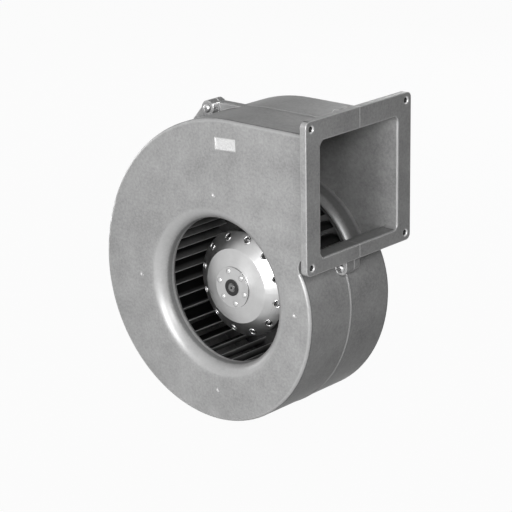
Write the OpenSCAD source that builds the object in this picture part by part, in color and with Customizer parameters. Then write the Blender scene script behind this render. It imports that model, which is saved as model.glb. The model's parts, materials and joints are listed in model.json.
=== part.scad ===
// Single inlet centrifugal blower: a drum impeller on an external rotor motor in a die-cast scroll casing.
// X points out of the outlet, Y points from the inlet face to the rear, Z points up.
// The origin lies on the shaft axis, in the plane of the inlet face.

/* [Scroll casing] */
// Depth of the casing from the inlet face to the rear face
casing_depth = 104; // [100:1:116]
// Thickness of the cast walls
wall = 2.5; // [2:0.1:3.4]
// Radius of the rounded edge between a flat face and the side wall
rim_r = 3; // [1.5:0.1:4.5]
// Distance from the shaft axis to the outside of the wall, right
scroll_right = 102.5; // [100:0.5:106]
// Distance from the shaft axis to the outside of the wall, below
scroll_bottom = 114; // [110:0.5:120]
// Distance from the shaft axis to the outside of the wall, left
scroll_left = 128; // [124:0.5:136]
// Distance from the shaft axis to the outside of the duct's top
duct_top = 151.5; // [146:0.5:160]
// How far left of the shaft axis the lowest point of the scroll lies
low_point_shift = 8; // [5:0.5:11]
// Radius of the outer wall's last arc, which ends at the cut-off
cutoff_arc_r = 80; // [77:0.5:84]
// Radius of the rounded nose of the cut-off
cutoff_nose_r = 12; // [8:0.5:14]
// Height of the duct's floor over the shaft axis
duct_floor = 53; // [51:0.5:56]
// Width of the cast bead on each side of the parting line
bead_w = 0.6; // [0.4:0.1:1.2]
// Height of the cast bead on the parting line
bead_h = 0.5; // [0.3:0.1:0.8]

/* [Outlet flange] */
// Distance from the shaft axis to the flange's sealing face
flange_reach = 112; // [110:0.5:120]
// Thickness of the flange
flange_t = 6; // [4:0.5:8]
// Width of the flange across the casing
flange_w = 134; // [130:1:142]
// Height of the flange
flange_h = 126; // [124:1:132]
// Height of the flange's lower edge over the shaft axis
flange_low = 41; // [39:0.5:43]
// Radius of the flange's corners
flange_corner_r = 5; // [3:0.5:6.5]
// Radius of the flange's screw holes
flange_hole_r = 3.1; // [2.5:0.1:3.5]
// Distance from the flange's edges to the centres of its screw holes
flange_hole_inset = 6.5; // [6:0.1:7]
// Radius of the corners of the outlet's mouth
mouth_corner_r = 4; // [2:0.5:6]
// Chamfer round the outlet's mouth and on the end of the shaft
edge_chamfer = 0.8; // [0.4:0.1:1.2]

/* [Inlet] */
// Radius of the inlet throat
throat_r = 63; // [60:0.5:64]
// Radius of the bell-mouth's curve
bell_r = 13; // [11:0.5:13.5]
// Straight length of the throat behind the bell-mouth
throat_lip = 3; // [2:0.5:3.5]
// Radius of the circle of screw holes round the inlet
inlet_circle_r = 86; // [84:0.5:88]
// Radius of the screw holes round the inlet
inlet_hole_r = 1.65; // [1.2:0.05:2]
// Depth of the screw holes round the inlet
inlet_hole_depth = 2.4; // [2:0.1:6]
// Radius of the bosses behind the inlet's screw holes
inlet_boss_r = 4; // [3.5:0.1:4.5]
// Height of the bosses behind the inlet's screw holes
inlet_boss_h = 7.5; // [6:0.5:9]
// Width of the blank plate on the inlet face
plate_w = 22; // [16:1:26]
// Height of the blank plate on the inlet face
plate_h = 9.8; // [8:0.2:12]
// Thickness of the blank plate on the inlet face
plate_t = 0.4; // [0.3:0.1:0.8]

/* [Casing screws] */
// Radius of the casing screws
screw_r = 2; // [1.5:0.1:2.2]
// Radius of the casing screws' heads
head_r = 3.8; // [3.4:0.1:4.2]
// Height of the casing screws' heads
head_h = 2.4; // [1.8:0.1:3]
// Radius of the screw lugs on the parting line
lug_r = 6; // [5.6:0.1:6.8]
// Depth of a lug in front of the parting line
lug_depth = 10; // [8:0.5:12]

/* [Rear recess] */
// Radius of the motor recess, on the side of the impeller
recess_r = 81; // [79:0.5:83]
// Distance from the rear face to the front of the recess floor
recess_depth = 20; // [18:0.5:20.5]
// Thickness of the recess floor
floor_t = 3; // [2.5:0.1:4]
// Radius of the rounded edges of the recess
recess_edge_r = 4; // [3:0.5:5]
// Number of ribs on the recess floor
rib_count = 8; // [4:1:12]
// Thickness of the ribs on the recess floor
rib_t = 3; // [2:0.5:4]
// Height of the ribs on the recess floor
rib_h = 6; // [4:0.5:9]

/* [Impeller] */
// Number of blades
blade_count = 38; // [30:1:44]
// Radius of the circle on which the blades' inner edges lie
blade_inner_r = 66.8; // [66:0.1:67.4]
// Radius of curvature of a blade
blade_arc_r = 12.2; // [11.5:0.1:12.4]
// Thickness of a blade
blade_t = 0.8; // [0.6:0.1:1]
// Distance from the inlet face to the front of the impeller
wheel_y = 19; // [18.5:0.5:20.5]
// Clearance between the impeller and the recess floor
wheel_back_gap = 2.6; // [2.2:0.1:4]
// Thickness of the impeller's end plates
sheet_t = 1.2; // [0.9:0.1:1.4]
// Clearance between the blades and the end plates' rims
wheel_rim_gap = 0.4; // [0.3:0.1:0.6]
// Depth of the end plates' turned rims
wheel_rim_w = 3; // [2:0.5:5]

/* [Rotor] */
// Radius of the rotor cup
rotor_r = 46; // [45:0.5:47]
// Thickness of the rotor cup's wall
cup_t = 2; // [1.6:0.1:2.2]
// Distance from the inlet face to the rotor cup's front
cup_y = 21.5; // [21:0.1:22.5]
// Radius of the edge between the cup's two cones
cup_edge_r = 32.6; // [31:0.1:34]
// Depth of the shallow cone round the hub plate
dish_depth = 3.4; // [2:0.1:4]
// Depth of the steep cone that carries the vent holes
cone_depth = 9; // [8:0.1:10]
// Number of vent holes in the cone
vent_count = 12; // [8:1:14]
// Radius of the circle of vent holes
vent_circle_r = 41.6; // [41:0.1:42]
// Radius of a vent hole
vent_r = 3.1; // [2:0.1:3.3]
// Radius of the round plate on the hub
hub_r = 18; // [17:0.5:19]
// Thickness of the round plate on the hub
hub_t = 1.5; // [1:0.1:2.5]
// Number of rivets in the hub plate
rivet_count = 6; // [4:1:8]
// Radius of the circle of rivets in the hub plate
rivet_circle_r = 14.2; // [13:0.1:14.5]
// Radius of the rivets' heads
rivet_head_r = 1.9; // [1.6:0.1:2.1]
// Radius of the shaft collar
collar_r = 7.2; // [6.5:0.1:8]

/* [Stator and bearings] */
// Radius of the shaft
shaft_r = 4; // [3.5:0.1:4.2]
// Outer radius of the ball bearings
bearing_r = 11; // [10.8:0.1:11.4]
// Width of the ball bearings
bearing_w = 7; // [6.6:0.1:7.4]
// Number of balls in a bearing
ball_count = 7; // [6:1:8]
// Outer radius of the bearing tube
tube_r = 14; // [13.6:0.1:14.4]
// Radius of the stator's laminations
stator_r = 35.2; // [34.4:0.1:35.3]
// Air gap between the stator and the rotor
air_gap = 0.4; // [0.3:0.05:0.6]
// Number of slots in the stator
slot_count = 12; // [8:1:12]
// Number of bars in the rotor's cage
bar_count = 24; // [18:1:26]
// Radius of the motor flange
motor_flange_r = 42; // [40:0.5:43]
// Thickness of the motor flange
motor_flange_t = 4.5; // [4:0.1:4.6]
// Radius of the motor flange's spigot
spigot_r = 26; // [24:0.5:27]
// Radius of the circle of motor screws
motor_circle_r = 34; // [32:0.5:35]

/* [Hidden] */
$fn = 96;

// One overrun serves every cut, and one small step lets two cast pieces merge.
cut = 1;
fit_gap = 0.05;
detail_fn = 32;

// The scroll's outer wall is four arcs, each tangent to the next, about these centres in X and Z.
arc1_r = scroll_right + low_point_shift;
arc1_z = arc1_r - scroll_bottom;
arc2_r = scroll_left - low_point_shift;
arc2_z = arc2_r - scroll_bottom;
arc3_r = duct_top - arc2_z;
arc3_x = arc3_r - scroll_left;
arc4_x = scroll_right - cutoff_arc_r;
floor_z = duct_floor - wall;

// The nose of the cut-off is an arc about this centre. It is tangent to the duct's floor and to the last arc.
nose_z = duct_floor - cutoff_nose_r;
nose_out_r = cutoff_nose_r - wall;
nose_reach = cutoff_arc_r + nose_out_r;
nose_rise = nose_z - arc1_z;
nose_x = arc4_x + sqrt(nose_reach * nose_reach - nose_rise * nose_rise);
nose_a = atan2(nose_rise, nose_x - arc4_x);

split_y = casing_depth / 2;
recess_y = casing_depth - recess_depth;
flange_mid_z = flange_low + flange_h / 2;
flange_back = flange_reach - flange_t;
hole_dy = flange_w / 2 - flange_hole_inset;
hole_dz = flange_h / 2 - flange_hole_inset;
mouth_w = casing_depth - 2 * wall;
mouth_h = duct_top - wall - duct_floor;
mouth_mid_z = duct_floor + mouth_h / 2;

// Places of the four casing screws, in X and Z, each one lug away from the wall that it holds.
lug_seat = lug_r * 0.7;
ear_r = lug_r * 1.08;
ear_x = -0.339 * scroll_left;
ear_z = arc2_z + sqrt(pow(arc3_r + ear_r * 0.9, 2) - pow(ear_x - arc3_x, 2));
top_lug_x = flange_back - lug_r * 1.5;
top_lug_z = duct_top + lug_r * 1.2;
nose_lug_z = nose_z - lug_r * 1.48;
left_lug_z = arc2_z - lug_r * 3;
left_lug_x = -low_point_shift - sqrt(pow(arc2_r + lug_seat, 2) - pow(left_lug_z - arc2_z, 2));
lug_places = [[ear_x, ear_z], [top_lug_x, top_lug_z], [nose_x, nose_lug_z], [left_lug_x, left_lug_z]];
lug_front = split_y - lug_depth;
lug_back = split_y + lug_depth * 0.7;

// The impeller
wheel_back = recess_y - wheel_back_gap - sheet_t;
blade_mid_r = sqrt(blade_inner_r * blade_inner_r + blade_arc_r * blade_arc_r);
blade_outer_r = blade_mid_r + blade_arc_r + blade_t / 2;
wheel_rim_in = blade_outer_r + wheel_rim_gap;
wheel_r = wheel_rim_in + sheet_t / 2;
blade_phase = 180.7;
back_hole_r = rotor_r + fit_gap;
skirt_flange_r = rotor_r + 5 * sheet_t;
skirt_rivet_r = (rotor_r + skirt_flange_r) / 2;
skirt_rivets = 8;

// The rotor
cup_in_r = rotor_r - cup_t;
dish_y = cup_y + dish_depth;
cone_y = dish_y + cone_depth;
hub_y = cup_y - hub_t;
rivet_phase = 45;
rivet_pin_r = rivet_head_r * 0.65;
vent_phase = 18;
collar_h = hub_t * 0.4;
collar_y = hub_y - collar_h;

// The stack of laminations and what goes round it
flange_y = recess_y - motor_flange_t;
stack_back = flange_y - bearing_w - bearing_w / 3;
turn_h = bearing_w * 0.7;
ring_t = bearing_w / 7;
front_bearing_y = cup_y + 2 * cup_t + ring_t / 4;
stack_y = front_bearing_y + bearing_w + turn_h;
stack_len = stack_back - stack_y;
rotor_in_r = stator_r + air_gap;
core_out_r = cup_in_r;
cage_ring_h = bearing_w / 2;
cage_ring_r = core_out_r - cup_t * 1.6;
bar_r = (core_out_r - rotor_in_r) * 0.17;
bar_circle_r = rotor_in_r + bar_r * 1.8;
slot_in_r = tube_r * 1.4;
slot_out_r = stator_r - stator_r / 10;
slot_w = slot_in_r * 0.3;
slot_mouth = slot_w / 3;
insulator_t = bearing_w / 8;
turn_in_r = slot_in_r;
turn_out_r = slot_out_r - slot_mouth;

// The bearings
rear_bearing_y = flange_y - bearing_w;
tube_y = front_bearing_y;
washer_t = bearing_w / 7;
shoulder_r = bearing_r - bearing_r / 8;
ball_circle_r = (shaft_r + bearing_r) / 2;
ball_r = (bearing_r - shaft_r) * 0.28;
race_w = (bearing_r - shaft_r) * 0.3;
shield_t = bearing_w / 24;
shield_inset = bearing_w / 40;
shaft_back = flange_y + 2 * ring_t;
spigot_back = recess_y + floor_t + ring_t * 2;
grommet_r = spigot_r / 6;
grommet_shift = (tube_r + spigot_r) / 2 + ring_t / 2;

// An outline drawn in X and Z becomes a slab between two depths.
module slab(y0, y1) {
    translate([0, y1, 0])
        rotate([90, 0, 0])
            linear_extrude(y1 - y0)
                children();
}

// A profile drawn as radius and depth turns about the Y axis, between two angles in the plane of X and Z.
module turned(from = 0, to = 360) {
    rotate([-90, 0, 0])
        rotate([0, 0, -to])
            rotate_extrude(angle = to - from)
                children();
}

// A rod along Y, centred on the shaft axis.
module rod(r, y0, y1, front_r = -1) {
    translate([0, y1, 0])
        rotate([90, 0, 0])
            cylinder(h = y1 - y0, r1 = r, r2 = front_r < 0 ? r : front_r);
}

module place(spot) {
    translate([spot[0], 0, spot[1]])
        children();
}

module ring_of(count, r, phase = 0) {
    for (i = [0 : count - 1])
        rotate([0, -phase - i * 360 / count, 0])
            translate([r, 0, 0])
                children();
}

module ring_outline(outer, inner) {
    difference() {
        circle(outer);
        circle(inner);
    }
}

module ring(outer, inner, y0, y1) {
    slab(y0, y1)
        ring_outline(outer, inner);
}

// A quarter of a disc, between the two positive axes turned by a.
module quarter(r, a) {
    rotate(a)
        intersection() {
            circle(r);
            square(r);
        }
}

// The scroll's outline, grown by g beyond the outside of its wall.
module scroll_outline(g) {
    low = floor_z - g;
    translate([-low_point_shift, arc1_z])
        quarter(arc1_r + g, -90);
    translate([-low_point_shift, arc2_z])
        quarter(arc2_r + g, 180);
    translate([arc3_x, arc2_z])
        quarter(arc3_r + g, 90);
    translate([arc4_x, arc1_z])
        quarter(cutoff_arc_r + g, 0);
    translate([-low_point_shift, arc1_z])
        square([low_point_shift + max(arc3_x, arc4_x), duct_floor - arc1_z]);
    translate([arc3_x, low])
        square([flange_reach - arc3_x, duct_top + g - low]);
    difference() {
        polygon([[arc4_x, arc1_z],
                 [arc4_x + nose_reach * cos(nose_a), arc1_z + nose_reach * sin(nose_a)],
                 [nose_x, low], [arc4_x, low]]);
        translate([nose_x, nose_z])
            circle(nose_out_r - g);
    }
}

// A radial strip of the casing, from an arc's centre to its wall, with rounded outer corners.
module rim_profile(out_r) {
    square([out_r - rim_r, casing_depth]);
    translate([out_r - rim_r, rim_r])
        square([rim_r, casing_depth - 2 * rim_r]);
    for (y = [rim_r, casing_depth - rim_r])
        translate([out_r - rim_r, y])
            circle(rim_r);
}

// The web between the last arc and the duct's floor. It stands a little back from the duct's own wall.
module nose_web() {
    full = floor_z + 2 * rim_r;
    difference() {
        polygon([[arc4_x, arc1_z], [nose_x, nose_z], [flange_back, nose_z], [flange_back, full], [arc4_x, full]]);
        translate([nose_x, nose_z])
            circle(nose_out_r + wall / 8);
        translate([nose_x, nose_z - cut])
            square([cutoff_arc_r, nose_out_r + cut]);
    }
}

// The scroll and its duct as one block, with a rounded edge along the arcs and the duct's top.
module scroll_block() {
    full = floor_z + 2 * rim_r;
    translate([-low_point_shift, 0, arc1_z])
        turned(-90, 0)
            rim_profile(arc1_r);
    translate([-low_point_shift, 0, arc2_z])
        turned(180, 270)
            rim_profile(arc2_r);
    translate([arc3_x, 0, arc2_z])
        turned(90, 180)
            rim_profile(arc3_r);
    translate([arc4_x, 0, arc1_z])
        turned(0, 90)
            rim_profile(cutoff_arc_r);
    slab(0, casing_depth) {
        translate([-low_point_shift, arc1_z])
            square([low_point_shift + max(arc3_x, arc4_x), full - arc1_z]);
        nose_web();
    }
    across_x(arc3_x, flange_back) {
        translate([0, full])
            square([casing_depth, duct_top - rim_r - full]);
        translate([rim_r, full])
            square([casing_depth - 2 * rim_r, duct_top - full]);
        for (y = [rim_r, casing_depth - rim_r])
            translate([y, duct_top - rim_r])
                circle(rim_r);
    }
}

// A rounded rectangle in Y and Z, centred on the outlet's flange.
module flange_outline(w, h, mid_z, r) {
    translate([split_y, mid_z]) {
        square([w - 2 * r, h], center = true);
        square([w, h - 2 * r], center = true);
        for (sy = [-1, 1])
            for (sz = [-1, 1])
                translate([sy * (w / 2 - r), sz * (h / 2 - r)])
                    circle(r);
    }
}

module across_x(x0, x1) {
    translate([x0, 0, 0])
        rotate([90, 0, 90])
            linear_extrude(x1 - x0)
                children();
}

// A rounded rectangle that widens or narrows by the chamfer over the chamfer's depth.
module chamfer_frustum(x0, w0, h0, r0, change, mid_z, depth) {
    for (sy = [-1, 1])
        for (sz = [-1, 1])
            translate([x0, split_y + sy * (w0 / 2 - r0), mid_z + sz * (h0 / 2 - r0)])
                rotate([0, 90, 0])
                    cylinder(h = depth, r1 = r0, r2 = r0 + change);
    translate([x0, split_y, mid_z - h0 / 2 + r0])
        linear_extrude(h0 - 2 * r0)
            polygon([[0, -w0 / 2], [depth, -w0 / 2 - change], [depth, w0 / 2 + change], [0, w0 / 2]]);
    translate([x0, split_y + w0 / 2 - r0, mid_z])
        rotate([90, 0, 0])
            linear_extrude(w0 - 2 * r0)
                polygon([[0, -h0 / 2], [depth, -h0 / 2 - change], [depth, h0 / 2 + change], [0, h0 / 2]]);
}

module outlet_flange() {
    across_x(flange_back, flange_reach)
        flange_outline(flange_w, flange_h, flange_mid_z, flange_corner_r);
}

module flange_holes() {
    for (sy = [-1, 1])
        for (sz = [-1, 1])
            translate([flange_back - cut, split_y + sy * hole_dy, flange_mid_z + sz * hole_dz])
                rotate([0, 90, 0])
                    cylinder(h = flange_t + 2 * cut, r = flange_hole_r);
}

// The fillets in the long corners of the duct, between the nose of the cut-off and the mouth.
module duct_fillets() {
    across_x(nose_x, flange_reach)
        difference() {
            translate([wall, duct_floor])
                square([mouth_w, mouth_h]);
            flange_outline(mouth_w, mouth_h, mouth_mid_z, mouth_corner_r);
        }
}

// The inlet's bell-mouth, from the flat face to the end of the throat.
module bell_profile() {
    bell_mid = throat_r + bell_r;
    difference() {
        translate([throat_r, 0])
            square([bell_r, bell_r]);
        translate([bell_mid, bell_r])
            circle(bell_r - wall);
        difference() {
            translate([throat_r - cut, -cut])
                square([bell_r + cut, bell_r + cut]);
            translate([bell_mid, bell_r])
                circle(bell_r);
        }
    }
    translate([throat_r, bell_r])
        square([wall, throat_lip]);
    translate([bell_mid, 0])
        square([wall, wall]);
}

module recess_profile() {
    back_r = recess_r - wall;
    difference() {
        union() {
            translate([spigot_r + fit_gap, recess_y])
                square([recess_r - recess_edge_r - spigot_r - fit_gap, floor_t]);
            translate([recess_r - recess_edge_r, recess_y + recess_edge_r])
                circle(recess_edge_r);
            translate([back_r - recess_edge_r, recess_y + floor_t])
                square(recess_edge_r);
            translate([back_r, recess_y + recess_edge_r])
                square([wall, casing_depth - recess_y - 2 * recess_edge_r]);
            translate([back_r, casing_depth - recess_edge_r])
                square(recess_edge_r);
        }
        translate([back_r - recess_edge_r, recess_y + floor_t + recess_edge_r])
            circle(recess_edge_r);
        difference() {
            translate([back_r - cut, casing_depth - recess_edge_r])
                square([recess_edge_r + cut, recess_edge_r + cut]);
            translate([back_r + recess_edge_r, casing_depth - recess_edge_r])
                circle(recess_edge_r);
        }
    }
}

// The ear at the upper left: a round boss, a gusset down to the wall on its left, and a ridge on its right.
module ear() {
    slope = 50;
    top_r = ear_r - fit_gap * 3;
    top_x = ear_x - top_r * sin(slope);
    top_z = ear_z + top_r * cos(slope);
    run = ear_r * 5.5;
    ridge_z = ear_z + ear_r * 0.65;
    place([ear_x, ear_z])
        rod(ear_r, lug_front, lug_back);
    slab(lug_front + lug_depth * 0.2, lug_back)
        polygon([[top_x - run * cos(slope), top_z - run * sin(slope)], [top_x, top_z], [ear_x, ear_z],
                 [ear_x, ear_z - ear_r * 1.4]]);
    slab(split_y - lug_depth * 0.2, lug_back)
        polygon([[ear_x, ridge_z], [-low_point_shift * 0.6, ridge_z], [-low_point_shift * 0.6, ridge_z - wall],
                 [ear_x, ear_z - ear_r * 1.4]]);
}

module lugs() {
    ear();
    slab(lug_front, lug_back) {
        translate([top_lug_x, top_lug_z])
            circle(lug_r);
        translate([top_lug_x - lug_r, duct_top - wall])
            square([flange_back - top_lug_x + lug_r, top_lug_z - duct_top + wall]);
        translate([nose_x, nose_lug_z])
            circle(lug_r);
        translate([nose_x - lug_r, nose_lug_z])
            square([2 * lug_r, nose_z + nose_out_r - nose_lug_z]);
        translate([left_lug_x, left_lug_z])
            circle(lug_r);
        translate([left_lug_x, left_lug_z - lug_r])
            square([lug_r * 1.5, 2 * lug_r]);
    }
}

module casing() {
    difference() {
        union() {
            difference() {
                union() {
                    scroll_block();
                    lugs();
                    slab(split_y - bead_w, split_y + bead_w)
                        intersection() {
                            scroll_outline(bead_h);
                            translate([-2 * scroll_left, -2 * scroll_bottom])
                                square([flange_back + 2 * scroll_left, 4 * scroll_bottom]);
                        }
                    outlet_flange();
                }
                slab(wall, casing_depth - wall)
                    scroll_outline(-wall);
                across_x(flange_back - cut, flange_reach + cut)
                    flange_outline(mouth_w, mouth_h, mouth_mid_z, mouth_corner_r);
                chamfer_frustum(flange_reach - edge_chamfer, mouth_w, mouth_h, mouth_corner_r,
                                edge_chamfer + cut, mouth_mid_z, edge_chamfer + cut);
                rod(throat_r + bell_r, -cut, wall + cut);
                rod(recess_r - wall + recess_edge_r, casing_depth - wall - cut, casing_depth + cut);
            }
            duct_fillets();
            turned()
                bell_profile();
            turned()
                recess_profile();
            ring_of(4, inlet_circle_r)
                rod(inlet_boss_r, wall / 2, wall + inlet_boss_h);
            ring_of(rib_count, 0, 180 / rib_count)
                translate([motor_flange_r, recess_y + floor_t / 2, -rib_t / 2])
                    cube([recess_r - wall / 2 - motor_flange_r, floor_t / 2 + rib_h, rib_t]);
        }
        flange_holes();
        ring_of(4, inlet_circle_r)
            rod(inlet_hole_r, -cut, inlet_hole_depth);
        slab(-cut, plate_t)
            plate_outline();
        ring_of(4, motor_circle_r, 45)
            rod(screw_r + fit_gap, recess_y - cut, recess_y + floor_t + cut);
        for (spot = lug_places)
            place(spot) {
                rod(screw_r + fit_gap, lug_front - lug_depth, lug_back + lug_depth * 2);
                rod(head_r + edge_chamfer, 0, lug_front);
            }
    }
}

module front_housing() {
    color("#b4b4b4")
        intersection() {
            casing();
            translate([-2 * scroll_left, -casing_depth, -2 * scroll_bottom])
                cube([4 * scroll_left, casing_depth + split_y, 4 * scroll_bottom]);
        }
}

module rear_housing() {
    color("#a6a6a6")
        intersection() {
            casing();
            translate([-2 * scroll_left, split_y, -2 * scroll_bottom])
                cube([4 * scroll_left, casing_depth, 4 * scroll_bottom]);
        }
}

// A pan-head screw along Y, its head at the front, seated at y.
module screw(y, length) {
    difference() {
        union() {
            rod(screw_r, y - head_h / 2, y + length);
            rod(head_r, y - head_h, y, head_r - head_h / 3);
        }
        translate([0, y - head_h / 2, 0])
            rotate([90, 0, 0])
                cylinder(h = head_h, r = screw_r, $fn = 6);
    }
}

module housing_screws() {
    color("#d8d8d8")
        for (spot = lug_places)
            place(spot)
                screw(lug_front, lug_depth * 1.6, $fn = detail_fn);
}

// The blank plate lies in a shallow pocket in the inlet face.
module plate_outline() {
    translate([plate_w * 0.63, duct_top - plate_h * 2.1])
        rotate(3.3)
            square([plate_w, plate_h], center = true);
}

module blank_plate() {
    color("#d9d9d9")
        slab(0, plate_t)
            plate_outline();
}

module motor_flange() {
    color("#9c9c9c")
        difference() {
            union() {
                rod(tube_r, tube_y, flange_y + cut);
                rod(tube_r * 1.7, flange_y - ring_t, flange_y);
                rod(motor_flange_r, flange_y, recess_y);
                rod(spigot_r, recess_y - cut, spigot_back);
            }
            rod(bearing_r, tube_y - cut, front_bearing_y + bearing_w + washer_t);
            rod(shoulder_r, tube_y, flange_y + cut);
            rod(bearing_r, rear_bearing_y, spigot_back + cut);
            ring_of(4, motor_circle_r, 45)
                rod(screw_r + fit_gap, flange_y + ring_t, recess_y + cut);
            place([0, -grommet_shift])
                rod(grommet_r, flange_y - motor_flange_t, spigot_back + cut);
        }
}

module motor_screws() {
    length = floor_t + motor_flange_t - 2 * ring_t;
    color("#c8c8c8")
        ring_of(4, motor_circle_r, 45)
            translate([0, 2 * (recess_y + floor_t), 0])
                mirror([0, 1, 0])
                    screw(recess_y + floor_t, length, $fn = detail_fn);
}

module cable_grommet() {
    lip = ring_t * 1.5;
    color("#2b2b2b")
        place([0, -grommet_shift])
            difference() {
                union() {
                    rod(grommet_r, flange_y, spigot_back);
                    rod(grommet_r + ring_t, spigot_back, spigot_back + lip, grommet_r + ring_t);
                }
                rod(grommet_r / 2, flange_y - cut, spigot_back + lip + cut);
            }
}

module rear_bearing_cap() {
    color("#8c8c8c")
        rod(bearing_r, spigot_back - 2 * ring_t, spigot_back);
}

// The outline that the stator's laminations and insulators share: teeth between slots with narrow mouths.
module stator_outline(outer) {
    difference() {
        ring_outline(outer, tube_r);
        for (i = [0 : slot_count - 1])
            rotate(i * 360 / slot_count) {
                translate([slot_in_r, -slot_w / 2])
                    square([slot_out_r - slot_in_r, slot_w]);
                translate([slot_out_r - slot_mouth, -slot_mouth / 2])
                    square([stator_r - slot_out_r + 2 * slot_mouth, slot_mouth]);
            }
    }
}

module stator_core() {
    color("#6f6f74")
        slab(stack_y, stack_back)
            stator_outline(stator_r);
}

module stator_insulators() {
    color("#d9cfae") {
        slab(stack_y - insulator_t, stack_y)
            stator_outline(slot_out_r);
        slab(stack_back, stack_back + insulator_t)
            stator_outline(slot_out_r);
    }
}

module stator_windings() {
    gap = insulator_t / 3;
    color("#b5703c") {
        ring(turn_out_r, turn_in_r, stack_y - insulator_t - turn_h, stack_y - insulator_t);
        ring(turn_out_r, turn_in_r, stack_back + insulator_t, flange_y - 2 * ring_t);
        ring_of(slot_count, 0)
            translate([slot_in_r + gap, stack_y - insulator_t - turn_h / 2, gap - slot_w / 2])
                cube([turn_out_r - slot_in_r - 2 * gap, stack_len + 2 * insulator_t + turn_h / 2 + gap,
                      slot_w - 2 * gap]);
    }
}

module thermal_cutout() {
    w = turn_out_r - turn_in_r - slot_mouth;
    color("#1f1f1f")
        translate([turn_in_r + slot_mouth / 2, stack_y - insulator_t - turn_h - washer_t * 2, -w / 4])
            cube([w, washer_t * 2, w / 2]);
}

// The profile of one bearing race ring, with its groove for the balls.
module race_profile(in_r, out_r) {
    difference() {
        translate([in_r, 0])
            square([out_r - in_r, bearing_w]);
        translate([ball_circle_r, bearing_w / 2])
            circle(ball_r + fit_gap, $fn = detail_fn);
    }
}

module bearing_outer_rings() {
    color("#bdbdbd")
        for (y = [front_bearing_y, rear_bearing_y])
            translate([0, y, 0])
                turned()
                    race_profile(bearing_r - race_w, bearing_r);
}

module bearing_inner_rings() {
    color("#bdbdbd")
        for (y = [front_bearing_y, rear_bearing_y])
            translate([0, y, 0])
                turned()
                    race_profile(shaft_r, shaft_r + race_w);
}

module bearing_shields() {
    color("#a8a8a8")
        for (y = [front_bearing_y, rear_bearing_y])
            for (side = [shield_inset, bearing_w - shield_inset - shield_t])
                ring(bearing_r - race_w, shaft_r + race_w + shield_t, y + side, y + side + shield_t);
}

module preload_washer() {
    color("#7d7d7d")
        ring(bearing_r, shoulder_r, front_bearing_y + bearing_w, front_bearing_y + bearing_w + washer_t);
}

module balls(y) {
    color("#e6e6e6")
        ring_of(ball_count, ball_circle_r)
            translate([0, y + bearing_w / 2, 0])
                sphere(ball_r, $fn = detail_fn);
}

module cage(y) {
    half = (bearing_r - shaft_r) / 2 - race_w - shield_t;
    color("#9a7b3c")
        difference() {
            ring(ball_circle_r + half, ball_circle_r - half, y + bearing_w / 2 + ball_r / 4,
                 y + bearing_w / 2 + ball_r * 1.3);
            ring_of(ball_count, ball_circle_r)
                translate([0, y + bearing_w / 2, 0])
                    sphere(ball_r + fit_gap, $fn = detail_fn);
        }
}

// A quarter-round blade, whose outer edge leads in the sense of rotation.
module blade_outline() {
    translate([blade_inner_r, -blade_arc_r])
        intersection() {
            ring_outline(blade_arc_r + blade_t / 2, blade_arc_r - blade_t / 2);
            square(blade_arc_r + blade_t);
        }
}

module impeller_blades() {
    color("#8d8d90")
        for (i = [0 : blade_count - 1])
            slab(wheel_y + sheet_t, wheel_back)
                rotate(blade_phase + i * 360 / blade_count)
                    blade_outline($fn = detail_fn * 2);
}

module impeller_front_ring() {
    color("#97979a")
        turned() {
            translate([blade_inner_r - blade_t, wheel_y])
                square([wheel_r - blade_inner_r + blade_t, sheet_t]);
            translate([wheel_rim_in, wheel_y])
                square([sheet_t / 2, wheel_rim_w]);
        }
}

module impeller_backplate() {
    color("#97979a")
        difference() {
            turned() {
                translate([back_hole_r, wheel_back])
                    square([wheel_r - back_hole_r, sheet_t]);
                translate([wheel_rim_in, wheel_back + sheet_t - wheel_rim_w])
                    square([sheet_t / 2, wheel_rim_w]);
            }
            ring_of(skirt_rivets, skirt_rivet_r)
                rod(rivet_pin_r, wheel_back - cut, wheel_back + sheet_t + cut, $fn = detail_fn);
        }
}

// A rivet along Y that holds what lies between two depths.
module rivet(y0, y1) {
    head = rivet_head_r / 2;
    rod(rivet_pin_r, y0 - head / 2, y1 + head / 2);
    rod(rivet_head_r, y0 - head, y0, rivet_head_r * 0.6);
    rod(rivet_head_r * 0.6, y1, y1 + head, rivet_head_r);
}

module backplate_rivets() {
    color("#b0b0b0")
        ring_of(skirt_rivets, skirt_rivet_r)
            rivet(wheel_back - sheet_t, wheel_back + sheet_t, $fn = detail_fn);
}

// The rotor cup from the axis to the skirt, as radius and depth. The inside is the same shape moved in by t.
module cup_shape(t) {
    side = rotor_r - t;
    back = wheel_back + (t > 0 ? cut : 0);
    polygon([[0, cup_y + t], [hub_r, cup_y + t], [cup_edge_r - t / 3, dish_y + t], [side, cone_y + t],
             [side, back], [0, back]]);
}

module rotor_cup() {
    color("#cfcfcf")
        difference() {
            union() {
                turned()
                    difference() {
                        cup_shape(0);
                        cup_shape(cup_t);
                    }
                ring(skirt_flange_r, rotor_r - cup_t / 2, wheel_back - sheet_t, wheel_back);
            }
            rod(shaft_r * 1.5, cup_y - cut, cup_y + cup_t + cut);
            ring_of(rivet_count, rivet_circle_r, rivet_phase)
                rod(rivet_pin_r, cup_y - cut, cup_y + cup_t + cut, $fn = detail_fn);
            ring_of(vent_count, vent_circle_r, vent_phase)
                rod(vent_r, cup_y - cut, cone_y + 2 * cup_t, $fn = detail_fn);
            ring_of(skirt_rivets, skirt_rivet_r)
                rod(rivet_pin_r, wheel_back - 2 * sheet_t, wheel_back + cut, $fn = detail_fn);
        }
}

module rotor_laminations() {
    color("#66666b")
        slab(stack_y, stack_back)
            difference() {
                ring_outline(core_out_r, rotor_in_r);
                for (i = [0 : bar_count - 1])
                    rotate(i * 360 / bar_count)
                        translate([bar_circle_r, 0])
                            circle(bar_r, $fn = detail_fn);
            }
}

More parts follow.
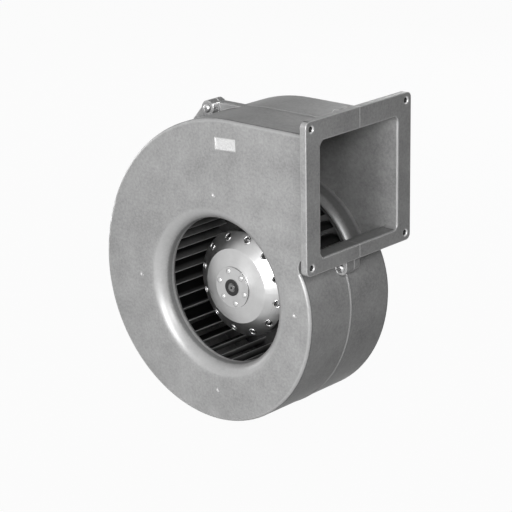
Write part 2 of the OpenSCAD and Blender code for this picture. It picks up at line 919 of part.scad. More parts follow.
module rotor_cage() {
    color("#c2c2c2") {
        ring(cage_ring_r, rotor_in_r, stack_y - cage_ring_h, stack_y);
        ring(cage_ring_r, rotor_in_r, stack_back, stack_back + cage_ring_h);
        ring_of(bar_count, bar_circle_r)
            rod(bar_r, stack_y - cage_ring_h / 2, stack_back + cage_ring_h / 2, $fn = detail_fn);
    }
}

module hub_plate() {
    color("#c9c9c9")
        difference() {
            union() {
                rod(hub_r, hub_y, cup_y, hub_r);
                rod(shaft_r * 1.5, cup_y - cut, cup_y + cup_t * 2);
            }
            rod(shaft_r, hub_y - cut, cup_y + cup_t * 2 + cut);
            ring_of(rivet_count, rivet_circle_r, rivet_phase)
                rod(rivet_pin_r, hub_y - cut, cup_y + cut, $fn = detail_fn);
        }
}

module hub_rivets() {
    color("#dedede")
        ring_of(rivet_count, rivet_circle_r, rivet_phase)
            rivet(hub_y, cup_y + cup_t, $fn = detail_fn);
}

module shaft_collar() {
    color("#4a4a4a")
        ring(collar_r, shaft_r, collar_y, hub_y);
}

module rotor_shaft() {
    color("#8a8a8a")
        difference() {
            union() {
                rod(shaft_r, collar_y + collar_h / 2, shaft_back);
                rod(shaft_r - edge_chamfer, collar_y + collar_h / 2 - edge_chamfer, collar_y + collar_h);
            }
            rod(shaft_r / 4, collar_y - cut, collar_y + shaft_r);
            ring(shaft_r + cut, shaft_r * 0.9, flange_y, flange_y + ring_t);
        }
}

module shaft_retaining_ring() {
    color("#5c5c5c")
        difference() {
            ring(shaft_r * 1.6, shaft_r * 0.9, flange_y, flange_y + ring_t);
            translate([0, flange_y - cut, -shaft_r / 4])
                cube([2 * shaft_r, ring_t + 2 * cut, shaft_r / 2]);
        }
}

front_housing();
rear_housing();
housing_screws();
blank_plate();
motor_flange();
motor_screws();
cable_grommet();
rear_bearing_cap();
stator_core();
stator_windings();
stator_insulators();
thermal_cutout();
bearing_outer_rings();
bearing_shields();
preload_washer();
impeller_blades();
impeller_front_ring();
impeller_backplate();
backplate_rivets();
rotor_cup();
rotor_laminations();
rotor_cage();
hub_plate();
hub_rivets();
shaft_collar();
rotor_shaft();
shaft_retaining_ring();
bearing_inner_rings();
balls(front_bearing_y);  // front_bearing_balls
cage(front_bearing_y);  // front_bearing_cage
balls(rear_bearing_y);  // rear_bearing_balls
cage(rear_bearing_y);  // rear_bearing_cage
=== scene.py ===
import json
import math
import bmesh
import bpy
from mathutils import Matrix, Vector


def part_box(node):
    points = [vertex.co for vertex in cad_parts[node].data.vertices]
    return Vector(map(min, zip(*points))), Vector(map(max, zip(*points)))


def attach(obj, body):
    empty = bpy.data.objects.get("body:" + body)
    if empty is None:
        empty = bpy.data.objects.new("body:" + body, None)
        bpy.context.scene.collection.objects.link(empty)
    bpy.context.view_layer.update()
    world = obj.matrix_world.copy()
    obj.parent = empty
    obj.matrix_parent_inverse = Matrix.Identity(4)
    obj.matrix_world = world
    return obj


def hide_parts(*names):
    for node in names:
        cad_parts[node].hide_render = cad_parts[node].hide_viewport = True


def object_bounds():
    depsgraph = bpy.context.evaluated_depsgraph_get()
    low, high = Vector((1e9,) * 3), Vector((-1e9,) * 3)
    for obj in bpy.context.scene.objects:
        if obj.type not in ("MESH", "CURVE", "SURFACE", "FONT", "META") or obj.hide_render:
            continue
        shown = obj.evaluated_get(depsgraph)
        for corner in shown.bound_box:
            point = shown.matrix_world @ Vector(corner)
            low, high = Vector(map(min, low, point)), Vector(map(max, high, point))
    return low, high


SPLIT_Y = 52  # the casing's parting plane, in millimetres

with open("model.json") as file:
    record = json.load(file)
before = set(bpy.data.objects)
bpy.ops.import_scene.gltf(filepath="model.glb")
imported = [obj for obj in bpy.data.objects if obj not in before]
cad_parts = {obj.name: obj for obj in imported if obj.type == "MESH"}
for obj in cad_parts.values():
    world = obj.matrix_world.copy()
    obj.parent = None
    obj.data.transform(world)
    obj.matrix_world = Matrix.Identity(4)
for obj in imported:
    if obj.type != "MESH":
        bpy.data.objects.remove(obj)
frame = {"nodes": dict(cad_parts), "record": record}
cad_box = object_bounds()
nodes = frame["nodes"]


# Shader maths

class Value:
    """A shader socket that adds, multiplies and compares like a number."""

    def __init__(self, paint, socket):
        self.paint = paint
        self.socket = socket

    def maths(self, operation, *others):
        inputs = dict(enumerate((self,) + others))
        return self.paint.node("ShaderNodeMath", {"operation": operation}, inputs)

    def __add__(self, other):
        return self.maths("ADD", other)

    def __sub__(self, other):
        return self.maths("SUBTRACT", other)

    def __rsub__(self, other):
        return self.paint.node("ShaderNodeMath", {"operation": "SUBTRACT"}, {0: other, 1: self})

    def __mul__(self, other):
        return self.maths("MULTIPLY", other)

    __radd__ = __add__
    __rmul__ = __mul__


class Paint:
    """One material of the blower, built node by node around a Principled shader."""

    def __init__(self, name, **fixed):
        self.material = bpy.data.materials.new(name)
        self.material.use_nodes = True
        self.tree = self.material.node_tree
        self.shader = self.tree.nodes["Principled BSDF"]
        for socket, value in fixed.items():
            self.shader.inputs[socket.replace("_", " ")].default_value = value
        self.place = self.node("ShaderNodeTexCoord", output="Object")

    def node(self, kind, settings=None, inputs=None, output=0):
        made = self.tree.nodes.new(kind)
        for key, value in (settings or {}).items():
            if key == "stops":
                ramp = made.color_ramp
                for spot, shade in value[2:]:
                    ramp.elements.new(spot)
                for element, (spot, shade) in zip(ramp.elements, value):
                    element.position = spot
                    element.color = (shade, shade, shade, 1)
            else:
                setattr(made, key, value)
        for key, value in (inputs or {}).items():
            if isinstance(value, Value):
                self.tree.links.new(value.socket, made.inputs[key])
            else:
                made.inputs[key].default_value = value
        return Value(self, made.outputs[output])

    def feed(self, **links):
        for socket, value in links.items():
            self.tree.links.new(value.socket, self.shader.inputs[socket.replace("_", " ")])

    def noise(self, scale, detail=3.0, roughness=0.5, where=None):
        inputs = {"Vector": where or self.place, "Scale": scale, "Detail": detail, "Roughness": roughness}
        return self.node("ShaderNodeTexNoise", None, inputs)

    def ramp(self, value, *stops):
        return self.node("ShaderNodeValToRGB", {"stops": stops}, {"Fac": value})

    def mix(self, share, first, second):
        """A blend of two colours."""
        return self.node("ShaderNodeMix", {"data_type": "RGBA"}, {0: share, 6: first, 7: second}, 2)

    def soft_normal(self, radius):
        return self.node("ShaderNodeBevel", {"samples": 6}, {"Radius": radius})

    def bump(self, height, strength, distance, normal=None):
        inputs = {"Height": height, "Strength": strength, "Distance": distance}
        if normal:
            inputs["Normal"] = normal
        return self.node("ShaderNodeBump", None, inputs)

    def edge_mask(self, normal):
        """How far a softened normal leans away from the true one: 0 on a flat, more along an edge."""
        true_normal = self.node("ShaderNodeNewGeometry", output="True Normal")
        both = {0: normal, 1: true_normal}
        level = self.node("ShaderNodeVectorMath", {"operation": "DOT_PRODUCT"}, both, 1)
        return self.ramp(1.0 - level, (0.002, 0), (0.03, 1))

    def along(self, axis):
        return self.node("ShaderNodeSeparateXYZ", None, {0: self.place}, axis)

    def front_lean(self):
        """How far a surface faces along the shaft: 1 on the inlet face, 0 on the side of the scroll."""
        normal = self.node("ShaderNodeNewGeometry", output="Normal")
        return self.node("ShaderNodeSeparateXYZ", None, {0: normal}, "Y").maths("ABSOLUTE")

    def reach(self):
        """Distance from the shaft axis."""
        return (self.along("X").maths("POWER", 2.0) + self.along("Z").maths("POWER", 2.0)).maths("SQRT")

    def round_shaft(self, stretch):
        """Coordinates that run with the distance from the shaft axis and along it, for turned marks."""
        return self.node("ShaderNodeCombineXYZ", None,
                         {0: self.reach() * stretch, 1: self.along("Y") * stretch, 2: 0.0})


def grey(level, tint=0.0):
    """A linear grey, a little cool for a negative tint and a little warm for a positive one."""
    return (level * (1 + tint), level, level * (1 - tint), 1)


def cast_metal(name, level, rough=0.38, metallic=0.05, edge=0.0014):
    """Raw die casting: a matte, mottled skin with fine pits, burnished where it curves and worn along its
    edges, both also lightened as a painted highlight.

    The round between the inlet face and the side is burnished and lightened as a painted highlight, and the
    surface beside it, leaning further towards the side, is darkened as painted shade.
    """
    paint = Paint(name, Specular_IOR_Level=0.05, Specular_Tint=grey(0.25))
    clouds = paint.ramp(paint.noise(38, 4, 0.6), (0.3, 0), (0.7, 1))
    flecks = paint.ramp(paint.noise(420, 3, 0.7), (0.3, 0), (0.7, 1))
    grain = paint.noise(1100, 2, 0.7)
    soft = paint.soft_normal(edge)
    # Edges are lightened and made more metallic: wear plus a painted highlight.
    edge_wear_and_highlight = paint.edge_mask(soft)
    lean = paint.front_lean()
    # Burnished and more metallic where the surface leans between the inlet face and the side, and lighter
    # there as a painted highlight.
    burnish_and_painted_highlight = paint.ramp(lean, (0.38, 0), (0.52, 1), (0.95, 1), (0.995, 0))
    # Painted shade: darker where the surface leans nearly sideways, as inside the bell and on the rounds.
    painted_side_shade = paint.ramp(lean, (0.03, 0), (0.1, 1), (0.28, 1), (0.4, 0))
    patches = paint.ramp(paint.noise(13, 4, 0.65), (0.3, 0), (0.7, 1))
    mottle = patches * 0.2 + clouds * 0.24 + flecks * 0.32 + grain * 0.24
    skin = paint.mix(mottle, grey(level * 0.55), grey(level * 1.45))
    # The parting line is lightened the same way: wear plus a painted highlight.
    seam = paint.ramp((paint.along("Y") * 1000 - SPLIT_Y).maths("ABSOLUTE"), (0.3, 0.6), (0.6, 0))
    edge_wear_and_highlight = edge_wear_and_highlight.maths("MAXIMUM", seam)
    # Painted shade: the surfaces that lean nearly sideways are darkened.
    skin = paint.mix(painted_side_shade * 0.65, skin, grey(level * 0.3))
    # Painted highlight: the rounds between the inlet face and the side are lightened.
    skin = paint.mix(burnish_and_painted_highlight * 0.5, skin, grey(level * 1.45))
    # Edges and parting line lightened: wear plus a painted highlight.
    skin = paint.mix(edge_wear_and_highlight * 0.8, skin, grey(min(level * 1.6, 0.9)))
    paint.feed(Base_Color=skin,
               Metallic=edge_wear_and_highlight * 0.4 + burnish_and_painted_highlight * 0.3 + metallic,
               Roughness=clouds * 0.08 + flecks * 0.08 + (rough - 0.08),
               Normal=paint.bump((grain * 0.5 + flecks * 0.5) * (1.0 - burnish_and_painted_highlight * 0.7), 0.5, 0.0003, soft))
    return paint.material


def sheet_metal(name, level, rough=0.42, metallic=0.9):
    """Galvanised sheet: faint spangles of slightly different grey."""
    paint = Paint(name, Metallic=metallic)
    spangle = paint.node("ShaderNodeTexVoronoi", None, {"Vector": paint.place, "Scale": 420.0}, "Color")
    streak = paint.noise(120, 3, 0.6)
    paint.feed(Base_Color=paint.mix(spangle * 0.6 + streak * 0.4, grey(level * 0.8), grey(level * 1.2)),
               Roughness=spangle * 0.14 + (rough - 0.07),
               Normal=paint.bump(streak, 0.2, 0.0002))
    return paint.material


def blade_sheet(name, level, inner_edge):
    """Dull sheet, darkened deeper into the wheel as painted shade, with its inner edges lightened as a
    painted highlight.
    """
    paint = Paint(name, Metallic=0.7)
    streak = paint.noise(160, 3, 0.6)
    past_edge = (paint.reach() - inner_edge) * 1000
    # Painted highlight: the blades' inner edges are lightened.
    cut = paint.ramp(past_edge, (0.25, 1), (0.7, 0))
    # Painted shade: darker the further from the inner edges, deep in the wheel.
    painted_depth_shade = paint.ramp(past_edge * 0.1, (0.1, 0), (0.7, 1))
    skin = paint.mix(streak, grey(level * 0.6), grey(level * 1.4))
    skin = paint.mix(painted_depth_shade, skin, grey(0.02))
    paint.feed(Base_Color=paint.mix(cut, skin, grey(0.62)),
               Roughness=streak * 0.2 + 0.28,
               Normal=paint.bump(streak, 0.2, 0.0002))
    return paint.material


def turned_metal(name, level, rough=0.3, metallic=1.0, fine=1600.0, depth=0.25):
    """Turned or deep-drawn steel: fine rings round the shaft axis and a few faint stains."""
    paint = Paint(name, Metallic=metallic)
    rings = paint.noise(1.0, 4, 0.6, paint.round_shaft(fine))
    stain = paint.ramp(paint.noise(60, 3, 0.6), (0.35, 0), (0.7, 1))
    paint.feed(Base_Color=paint.mix(rings * 0.5 + stain * 0.5, grey(level * 0.88), grey(level * 1.1)),
               Roughness=rings * 0.12 + stain * 0.06 + (rough - 0.09),
               Normal=paint.bump(rings, depth, 0.0001, paint.soft_normal(0.0004)))
    return paint.material


def small_metal(name, level, rough=0.3):
    """Plated or ground steel for screws, rings and balls."""
    paint = Paint(name, Metallic=1.0)
    spots = paint.ramp(paint.noise(700, 3, 0.6), (0.35, 0), (0.7, 1))
    paint.feed(Base_Color=paint.mix(spots, grey(level * 0.85), grey(level * 1.12)),
               Roughness=spots * 0.15 + (rough - 0.07),
               Normal=paint.bump(spots, 0.2, 0.0001, paint.soft_normal(0.0003)))
    return paint.material


def moulded(name, level, rough=0.55, tint=0.0):
    """Moulded plastic or rubber with a fine matte grain."""
    paint = Paint(name, Metallic=0.0)
    grain = paint.noise(1400, 2, 0.5)
    patches = paint.noise(90, 3, 0.5)
    paint.feed(Base_Color=paint.mix(patches, grey(level * 0.8, tint), grey(level * 1.2, tint)),
               Roughness=grain * 0.15 + (rough - 0.07),
               Normal=paint.bump(grain, 0.3, 0.0001, paint.soft_normal(0.0004)))
    return paint.material


def wound_wire(name):
    """Varnished copper wire, whose turns show as fine ridges."""
    paint = Paint(name, Metallic=0.8)
    waves = {"Vector": paint.place, "Scale": 320.0, "Distortion": 1.5, "Detail": 2.0, "Detail Scale": 2.0}
    turns = paint.node("ShaderNodeTexWave", {"bands_direction": "Y"}, waves, 1)
    varnish = paint.noise(220, 3, 0.6)
    copper = paint.mix(turns * 0.7 + varnish * 0.3, (0.17, 0.055, 0.018, 1), (0.55, 0.22, 0.09, 1))
    paint.feed(Base_Color=copper, Roughness=varnish * 0.2 + 0.25, Normal=paint.bump(turns, 0.8, 0.0003))
    return paint.material


finishes = {
    "cast_housing": cast_metal("raw die casting", 0.34),
    "zinc_screws": small_metal("zinc plate", 0.5, 0.36),
    "bare_plate": small_metal("satin plate", 0.72, 0.4),
    "cast_motor_flange": cast_metal("motor flange casting", 0.30),
    "black_rubber": moulded("black rubber", 0.02, 0.7),
    "cap_steel": turned_metal("pressed cap", 0.40, 0.4),
    "lamination_steel": turned_metal("stacked laminations", 0.14, 0.55, fine=4000.0, depth=0.8),
    "enamelled_wire": wound_wire("enamelled wire"),
    "insulator_plastic": moulded("insulator plastic", 0.5, 0.5, 0.2),
    "black_plastic": moulded("black plastic", 0.02, 0.4),
    "bearing_steel": small_metal("ground bearing steel", 0.6, 0.18),
    "shield_steel": turned_metal("bearing shield", 0.45, 0.35),
    "spring_steel": small_metal("spring steel", 0.10, 0.35),
    "galvanised_sheet": sheet_metal("galvanised sheet", 0.30),
    "rivet_metal": small_metal("rivet", 0.62, 0.3),
    "rotor_steel": turned_metal("drawn rotor cup", 0.54, 0.32),
    "cage_casting": cast_metal("cast rotor cage", 0.45),
    "hub_steel": turned_metal("hub plate", 0.5, 0.42),
    "collar_steel": turned_metal("darkened collar", 0.05, 0.4),
    "shaft_steel": turned_metal("ground shaft", 0.22, 0.3),
    "ball_steel": small_metal("bearing balls", 0.75, 0.12),
    "ball_cage_plastic": moulded("ball cage", 0.4, 0.5, 0.25),
}
for part in frame["record"]["subparts"]:
    held = nodes[part["node"]].data.materials
    held.clear()
    held.append(finishes[part["material_slot"]])
BLADE_INNER_RADIUS = 0.0668  # metres, where the blades' cut edges stand
nodes["impeller_blades"].data.materials[0] = blade_sheet("blade sheet", 0.34, BLADE_INNER_RADIUS)
# The backplate is the same galvanised sheet, darkened to 0.12 as painted shade deep inside the wheel.
nodes["impeller_backplate"].data.materials[0] = sheet_metal("backplate sheet in painted shade", 0.12, 0.4)


# Screws, rivets and other small pieces, drawn in millimetres

MM = 0.001
SCREW_HEAD = 2.4
THREAD_PITCH = 0.7


def spun(profile, steps=32, closed=False):
    """A solid spun round the Y axis from its profile of (radius, y) points."""
    shape = bmesh.new()
    points = [shape.verts.new((radius, y, 0)) for radius, y in profile]
    pairs = list(zip(points, points[1:]))
    if closed:
        pairs.append((points[-1], points[0]))
    edges = [shape.edges.new(pair) for pair in pairs]
    bmesh.ops.spin(shape, geom=points + edges, cent=(0, 0, 0), axis=(0, 1, 0), angle=math.tau,
                   steps=steps, use_merge=True)
    bmesh.ops.remove_doubles(shape, verts=shape.verts, dist=0.001)
    bmesh.ops.recalc_face_normals(shape, faces=shape.faces)
    return shape


def object_of(name, shape):
    """A smooth-shaded object made from a bmesh, which is used up."""
    mesh = bpy.data.meshes.new(name)
    shape.to_mesh(mesh)
    shape.free()
    for face in mesh.polygons:
        face.use_smooth = True
    made = bpy.data.objects.new(name, mesh)
    bpy.context.collection.objects.link(made)
    return made


def repeated(shape, places):
    """One shape in metres that holds a copy of the given one at each place."""
    whole = bmesh.new()
    for place in places:
        copy = shape.copy()
        bmesh.ops.transform(copy, matrix=Matrix.Scale(MM, 4) @ place, verts=copy.verts)
        held = bpy.data.meshes.new("copy")
        copy.to_mesh(held)
        copy.free()
        whole.from_mesh(held)
        bpy.data.meshes.remove(held)
    shape.free()
    return whole


def fit(name, shape, body, finish, angle=40, replaced=None):
    """Hands a finished piece over: its finish, the body it rides on and the node it stands for."""
    made = object_of(name, shape)
    made.data.materials.append(finish)
    made.data.set_sharp_from_angle(angle=math.radians(angle))
    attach(made, body)
    if replaced:
        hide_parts(replaced)


def at(x, y, z):
    return Matrix.Translation((x, y, z))


def round_the_shaft(count, radius, first, y=0.0):
    """Places on a circle round the shaft axis."""
    for number in range(count):
        angle = math.radians(first + number * 360 / count)
        yield at(radius * math.cos(angle), y, radius * math.sin(angle))


def cross_cutter(reach, width, top, bottom):
    """A tapered cross along Y, for a driver's recess."""
    half = width / 2
    corner = [(half, half), (half, reach), (-half, reach)]
    outline = []
    for turn in range(4):
        cosine = math.cos(math.radians(90 * turn))
        sine = math.sin(math.radians(90 * turn))
        outline += [(x * cosine - z * sine, x * sine + z * cosine) for x, z in corner]
    shape = bmesh.new()
    mouth = shape.faces.new([shape.verts.new((x, top, z)) for x, z in outline])
    pulled = bmesh.ops.extrude_face_region(shape, geom=[mouth])["geom"]
    deep = [part for part in pulled if isinstance(part, bmesh.types.BMVert)]
    bmesh.ops.translate(shape, vec=(0, bottom - top, 0), verts=deep)
    bmesh.ops.scale(shape, vec=(0.55, 1, 0.55), verts=deep)
    bmesh.ops.recalc_face_normals(shape, faces=shape.faces)
    return shape


def cut_from(shape, cutter):
    """The shape less the cutter."""
    body = object_of("blank", shape)
    tool = object_of("cutter", cutter)
    cut = body.modifiers.new("cut", "BOOLEAN")
    cut.operation = "DIFFERENCE"
    cut.object = tool
    held = bpy.data.meshes.new_from_object(body.evaluated_get(bpy.context.evaluated_depsgraph_get()))
    result = bmesh.new()
    result.from_mesh(held)
    for used in (body, tool):
        mesh = used.data
        bpy.data.objects.remove(used)
        bpy.data.meshes.remove(mesh)
    bpy.data.meshes.remove(held)
    return result


def pan_head_screw(length):
    """A pan-head screw seated at y = 0 with its head towards -Y: crowned head, cross recess and thread."""
    profile = [(0, -SCREW_HEAD), (1.6, -2.36), (2.6, -2.15), (3.3, -1.7), (3.7, -1.1), (3.8, -0.5), (3.8, 0)]
    profile += [(1.95, 0)]
    depth = 1.0
    while depth < length - 1:
        profile += [(1.95, depth), (1.6, depth + THREAD_PITCH / 2)]
        depth += THREAD_PITCH
    profile += [(1.5, length - 0.4), (0.9, length), (0, length)]
    return cut_from(spun(profile), cross_cutter(reach=2.3, width=0.95, top=-2.8, bottom=-1.0))


def domed_rivet(head, pin, length, far_head):
    """A rivet with a low domed head on each side of what it holds, from y = 0 to y = length."""
    high = head * 0.36
    profile = [(0, -high), (head * 0.4, -high * 0.9), (head * 0.72, -high * 0.62)]
    profile += [(head * 0.93, -high * 0.28), (head, 0), (pin, 0), (pin, length), (far_head, length)]
    profile += [(far_head * 0.8, length + far_head * 0.3), (0, length + far_head * 0.45)]
    return spun(profile, 24)


# The screws of the casing's lugs sit with their heads to the front, and the motor's with theirs to the back.
LUG_SCREWS = ((-43.4, 144.5), (97, 158.7), (100.2, 32.1), (-130.9, -12))
low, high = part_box("housing_screws")
seat = low[1] / MM + SCREW_HEAD
places = [at(x, seat, z) for x, z in LUG_SCREWS]
fit("casing_screws", repeated(pan_head_screw(high[1] / MM - seat), places),
    "housing", finishes["zinc_screws"], replaced="housing_screws")

MOTOR_SCREW_CIRCLE = 34
low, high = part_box("motor_screws")
seat = high[1] / MM - SCREW_HEAD
turned_round = Matrix.Rotation(math.pi, 4, "Z")
places = [place @ turned_round for place in round_the_shaft(4, MOTOR_SCREW_CIRCLE, 45, seat)]
fit("motor_flange_screws", repeated(pan_head_screw(seat - low[1] / MM), places),
    "housing", finishes["zinc_screws"], replaced="motor_screws")

HUB_RIVET_CIRCLE = 14.2
hub_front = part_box("hub_plate")[0][1] / MM
hub_rivet = domed_rivet(head=2.5, pin=1.2, length=3.5, far_head=1.9)
fit("hub_rivet_set", repeated(hub_rivet, round_the_shaft(6, HUB_RIVET_CIRCLE, 45, hub_front)),
    "impeller", finishes["rivet_metal"], replaced="hub_rivets")

SKIRT_RIVET_CIRCLE = 48
HELD_SHEETS = 1.6  # how thick the cup's skirt and the backplate are together
low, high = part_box("backplate_rivets")
skirt_front = (low[1] + high[1]) / 2 / MM - HELD_SHEETS / 2
skirt_rivet = domed_rivet(head=1.9, pin=1.2, length=HELD_SHEETS, far_head=1.9)
fit("backplate_rivet_set", repeated(skirt_rivet, round_the_shaft(8, SKIRT_RIVET_CIRCLE, 0, skirt_front)),
    "impeller", finishes["rivet_metal"], replaced="backplate_rivets")

# The flange's holes are countersunk and threaded, and these pieces line them.
FLANGE_HOLES_Y = (-8.5, 112.5)
FLANGE_HOLES_Z = (47.5, 160.5)
LINER_RADIUS = 3.08
face_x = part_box("front_housing")[1][0] / MM
outwards = Matrix.Rotation(math.radians(90), 4, "Z")
holes = [at(face_x, y, z) @ outwards for y in FLANGE_HOLES_Y for z in FLANGE_HOLES_Z]
rim = spun([(LINER_RADIUS, 0.02), (2.3, 0.8), (2.3, 1.1), (LINER_RADIUS, 1.1)], 32, closed=True)
fit("flange_hole_rims", repeated(rim, holes), "housing",
    small_metal("machined rim", 0.62, 0.3))
# The threads are near black: painted shade deep in the holes.
thread = [(LINER_RADIUS, 1.12), (2.4, 1.12)]
for turn in range(6):
    thread += [(2.75, 1.5 + turn * THREAD_PITCH), (2.4, 1.85 + turn * THREAD_PITCH)]
thread += [(LINER_RADIUS, 5.9)]
fit("flange_hole_threads", repeated(spun(thread, 24, closed=True), holes),
    "housing", small_metal("thread in painted shade", 0.05, 0.5))

# The inlet's screw dimples are shallow cones.
INLET_SCREW_CIRCLE = 86
dimple = spun([(1.63, 0.03), (0.9, 0.45), (0, 0.6), (0, 1.6), (1.63, 1.6)], 24)
fit("inlet_dimples", repeated(dimple, round_the_shaft(4, INLET_SCREW_CIRCLE, 0)), "housing",
    finishes["cast_housing"])

# A flat pad on the ear's boss, beside its screw; its pale, glossy metal is a painted highlight on the boss's
# flank.
EAR_FLAT_SIZE = (2.6, 8.2, 7)
EAR_FLAT_PLACE = (-38, 46.4, 145.4)
pad = bmesh.new()
bmesh.ops.create_cube(pad, size=1)
bmesh.ops.scale(pad, vec=EAR_FLAT_SIZE, verts=pad.verts)
bmesh.ops.bevel(pad, geom=pad.edges[:], offset=0.5, affect="EDGES", segments=2, profile=0.5, material=-1)
fit("ear_flat", repeated(pad, [at(*EAR_FLAT_PLACE)]), "housing",
    small_metal("pale flat as painted highlight", 0.85, 0.3))

# The vents of the rotor cup have rolled rims, which lie in the slope of its steep cone. The cone starts
# 3.4 mm behind the cup's front.
VENTS = 12
FIRST_VENT = 18
VENT_CIRCLE = 41.6
VENT_RADIUS = 3.1
LIP = 0.42
CONE_RADIUS = 32.6
CONE_WIDTH = 13.4
CONE_DEPTH = 9
cone_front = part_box("rotor_cup")[0][1] / MM + 3.4
vent_y = cone_front + (VENT_CIRCLE - CONE_RADIUS) * CONE_DEPTH / CONE_WIDTH
slope = Matrix.Rotation(math.atan2(CONE_DEPTH, CONE_WIDTH), 4, "Z")
lip = []
for turn in range(8):
    angle = turn * math.pi / 4
    lip.append((VENT_RADIUS + LIP * math.cos(angle), LIP * math.sin(angle)))
vents = []
for number in range(VENTS):
    spin = Matrix.Rotation(-math.radians(FIRST_VENT + number * 360 / VENTS), 4, "Y")
    vents.append(spin @ at(VENT_CIRCLE, vent_y, 0) @ slope)
fit("vent_rims", repeated(spun(lip, 24, closed=True), vents), "impeller",
    small_metal("rolled vent rim", 0.75, 0.22))

# A rounded shoulder runs round the raised motor seat, where the air turns into the duct.
SEAT_FRONT = SPLIT_Y + 32.2
SHOULDER_INNER = 79
SHOULDER_WIDTH = 6.5
SHOULDER_DEPTH = 17.4
SHOULDER_STEPS = 12
shoulder = []
for step in range(SHOULDER_STEPS + 1):
    angle = math.radians(step * 90 / SHOULDER_STEPS)
    shoulder.append((SHOULDER_INNER + SHOULDER_WIDTH * math.sin(angle),
                     SEAT_FRONT + SHOULDER_DEPTH * (1 - math.cos(angle))))
shoulder += [(SHOULDER_INNER, SEAT_FRONT + SHOULDER_DEPTH)]
fit("seat_shoulder", repeated(spun(shoulder, 96, closed=True), [at(0, 0, 0)]), "housing",
    finishes["cast_housing"])

PLATE_SIZE = (22, 0.45, 9.8)
PLATE_TILT = -3.3


def bordered_plate():
    """The blank plate: a thin slab with a raised border round a sunk panel."""
    low, high = (Vector(corner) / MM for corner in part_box("blank_plate"))
    middle = (low + high) / 2
    shape = bmesh.new()
    bmesh.ops.create_cube(shape, size=1)
    bmesh.ops.scale(shape, vec=PLATE_SIZE, verts=shape.verts)
    bmesh.ops.translate(shape, vec=(0, 0.175, 0), verts=shape.verts)
    front = [face for face in shape.faces if face.normal.y < -0.9]
    bmesh.ops.inset_region(shape, faces=front, thickness=0.9, depth=0)
    bmesh.ops.inset_region(shape, faces=front, thickness=0.15, depth=-0.15)
    tilt = Matrix.Rotation(math.radians(PLATE_TILT), 4, "Y")
    return repeated(shape, [at(middle.x, 0, middle.z) @ tilt])


fit("blank_plate_set", bordered_plate(), "housing", finishes["bare_plate"],
    angle=20, replaced="blank_plate")


# Floor, backdrop and light

AMBIENT = 0.02
PAPER_GREY = 0.22
PAPER_GLOW = 0.96


def seen_rays(tree):
    """1 where the camera, a reflection or a clear surface looks at the background, otherwise 0."""
    path = tree.nodes.new("ShaderNodeLightPath")
    seen = path.outputs["Is Camera Ray"]
    for kind in ("Is Glossy Ray", "Is Transmission Ray"):
        most = tree.nodes.new("ShaderNodeMath")
        most.operation = "MAXIMUM"
        tree.links.new(seen, most.inputs[0])
        tree.links.new(path.outputs[kind], most.inputs[1])
        seen = most.outputs[0]
    return seen


def plain_backdrop():
    """A world that looks white and gives only a faint, even light."""
    world = bpy.data.worlds.new("studio")
    bpy.context.scene.world = world
    world.use_nodes = True
    tree = world.node_tree
    tree.nodes.clear()
    seen = seen_rays(tree)
    ambient = tree.nodes.new("ShaderNodeBackground")
    ambient.inputs["Color"].default_value = (1, 1, 1, 1)
    ambient.inputs["Strength"].default_value = AMBIENT
    white = tree.nodes.new("ShaderNodeBackground")
    white.inputs["Color"].default_value = (1, 1, 1, 1)
    blend = tree.nodes.new("ShaderNodeMixShader")
    tree.links.new(seen, blend.inputs["Fac"])
    tree.links.new(ambient.outputs[0], blend.inputs[1])
    tree.links.new(white.outputs[0], blend.inputs[2])
    out = tree.nodes.new("ShaderNodeOutputWorld")
    tree.links.new(blend.outputs[0], out.inputs["Surface"])


plain_backdrop()


def floor():
    """A sheet of paper just under the part, which looks white and still shows the part's shadow."""
    shape = bmesh.new()
    under = at(0, 0, cad_box[0][2] - 0.002)
    bmesh.ops.create_grid(shape, x_segments=1, y_segments=1, size=6, matrix=under)
    made = object_of("floor", shape)
    paint = Paint("white paper", Roughness=0.9, Base_Color=grey(PAPER_GREY))
    tree = paint.tree
    glow = tree.nodes.new("ShaderNodeEmission")
    blend = tree.nodes.new("ShaderNodeMixShader")
    amount = Value(paint, seen_rays(tree)) * PAPER_GLOW
    tree.links.new(amount.socket, blend.inputs["Fac"])
    tree.links.new(paint.shader.outputs[0], blend.inputs[1])
    tree.links.new(glow.outputs[0], blend.inputs[2])
    tree.links.new(blend.outputs[0], tree.nodes["Material Output"].inputs["Surface"])
    made.data.materials.append(paint.material)


floor()

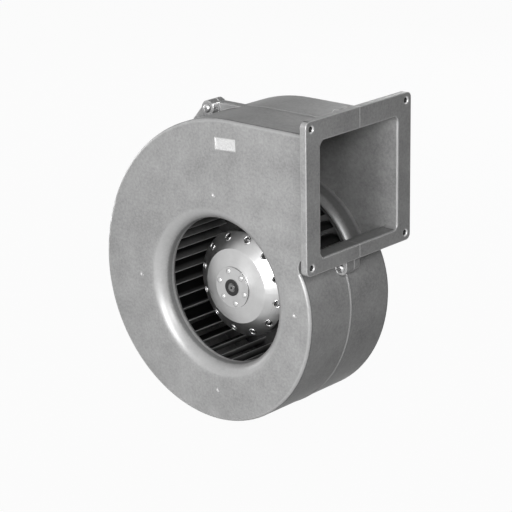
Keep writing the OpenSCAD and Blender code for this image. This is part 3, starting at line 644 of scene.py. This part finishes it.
# The camera's place, turn and focal length, in metres, degrees and pixels of a frame that is 512 wide
TARGET = Vector((0.04537, 0, 0.04226))
CAMERA_AZIMUTH = 41.51
CAMERA_ELEVATION = 18.01
CAMERA_ROLL = -0.98
CAMERA_AWAY = 1.64437
FOCAL_PIXELS = 2019.22
FRAME_PIXELS = 512
SENSOR_WIDTH = 36


def from_angles(azimuth, elevation):
    """The direction from the target towards a lamp or the camera; azimuth 0 is in front of the inlet."""
    turn = math.radians(azimuth)
    rise = math.radians(elevation)
    return Vector((math.sin(turn) * math.cos(rise), -math.cos(turn) * math.cos(rise), math.sin(rise)))


def soft_lamp(name, azimuth, elevation, away, width, height, power):
    """A softbox that faces the target, with its distance and size in metres and its power in watts."""
    lamp = bpy.data.lights.new(name, "AREA")
    lamp.shape = "RECTANGLE"
    lamp.size = width
    lamp.size_y = height
    lamp.energy = power
    made = bpy.data.objects.new(name, lamp)
    back = from_angles(azimuth, elevation)
    made.location = TARGET + back * away
    made.rotation_euler = back.to_track_quat("Z", "Y").to_euler()
    bpy.context.collection.objects.link(made)


soft_lamp("key", 5, 10, 1.6, 0.6, 0.5, 17)
soft_lamp("near", 25, 6, 0.9, 0.3, 0.3, 2)
soft_lamp("fill", 52, 27, 1.6, 0.6, 0.5, 8.5)
soft_lamp("back", 200, 17, 1.6, 0.8, 0.5, 11)
soft_lamp("left", 268, 3, 1.6, 0.6, 0.5, 7)


def place_camera():
    azimuth = math.radians(CAMERA_AZIMUTH)
    roll = math.radians(CAMERA_ROLL)
    back = from_angles(CAMERA_AZIMUTH, CAMERA_ELEVATION)
    right = Vector((math.cos(azimuth), math.sin(azimuth), 0))
    up = back.cross(right)
    level_right = right * math.cos(roll) + up * math.sin(roll)
    level_up = up * math.cos(roll) - right * math.sin(roll)
    turn = Matrix((level_right, level_up, back)).transposed()
    lens = bpy.data.cameras.new("camera")
    lens.sensor_width = SENSOR_WIDTH
    lens.lens = FOCAL_PIXELS / FRAME_PIXELS * SENSOR_WIDTH
    lens.clip_start = 0.05
    lens.clip_end = 60
    made = bpy.data.objects.new("camera", lens)
    made.matrix_world = Matrix.Translation(TARGET + back * CAMERA_AWAY) @ turn.to_4x4()
    bpy.context.collection.objects.link(made)
    bpy.context.scene.camera = made


place_camera()
bpy.context.scene.view_settings.view_transform = "Standard"
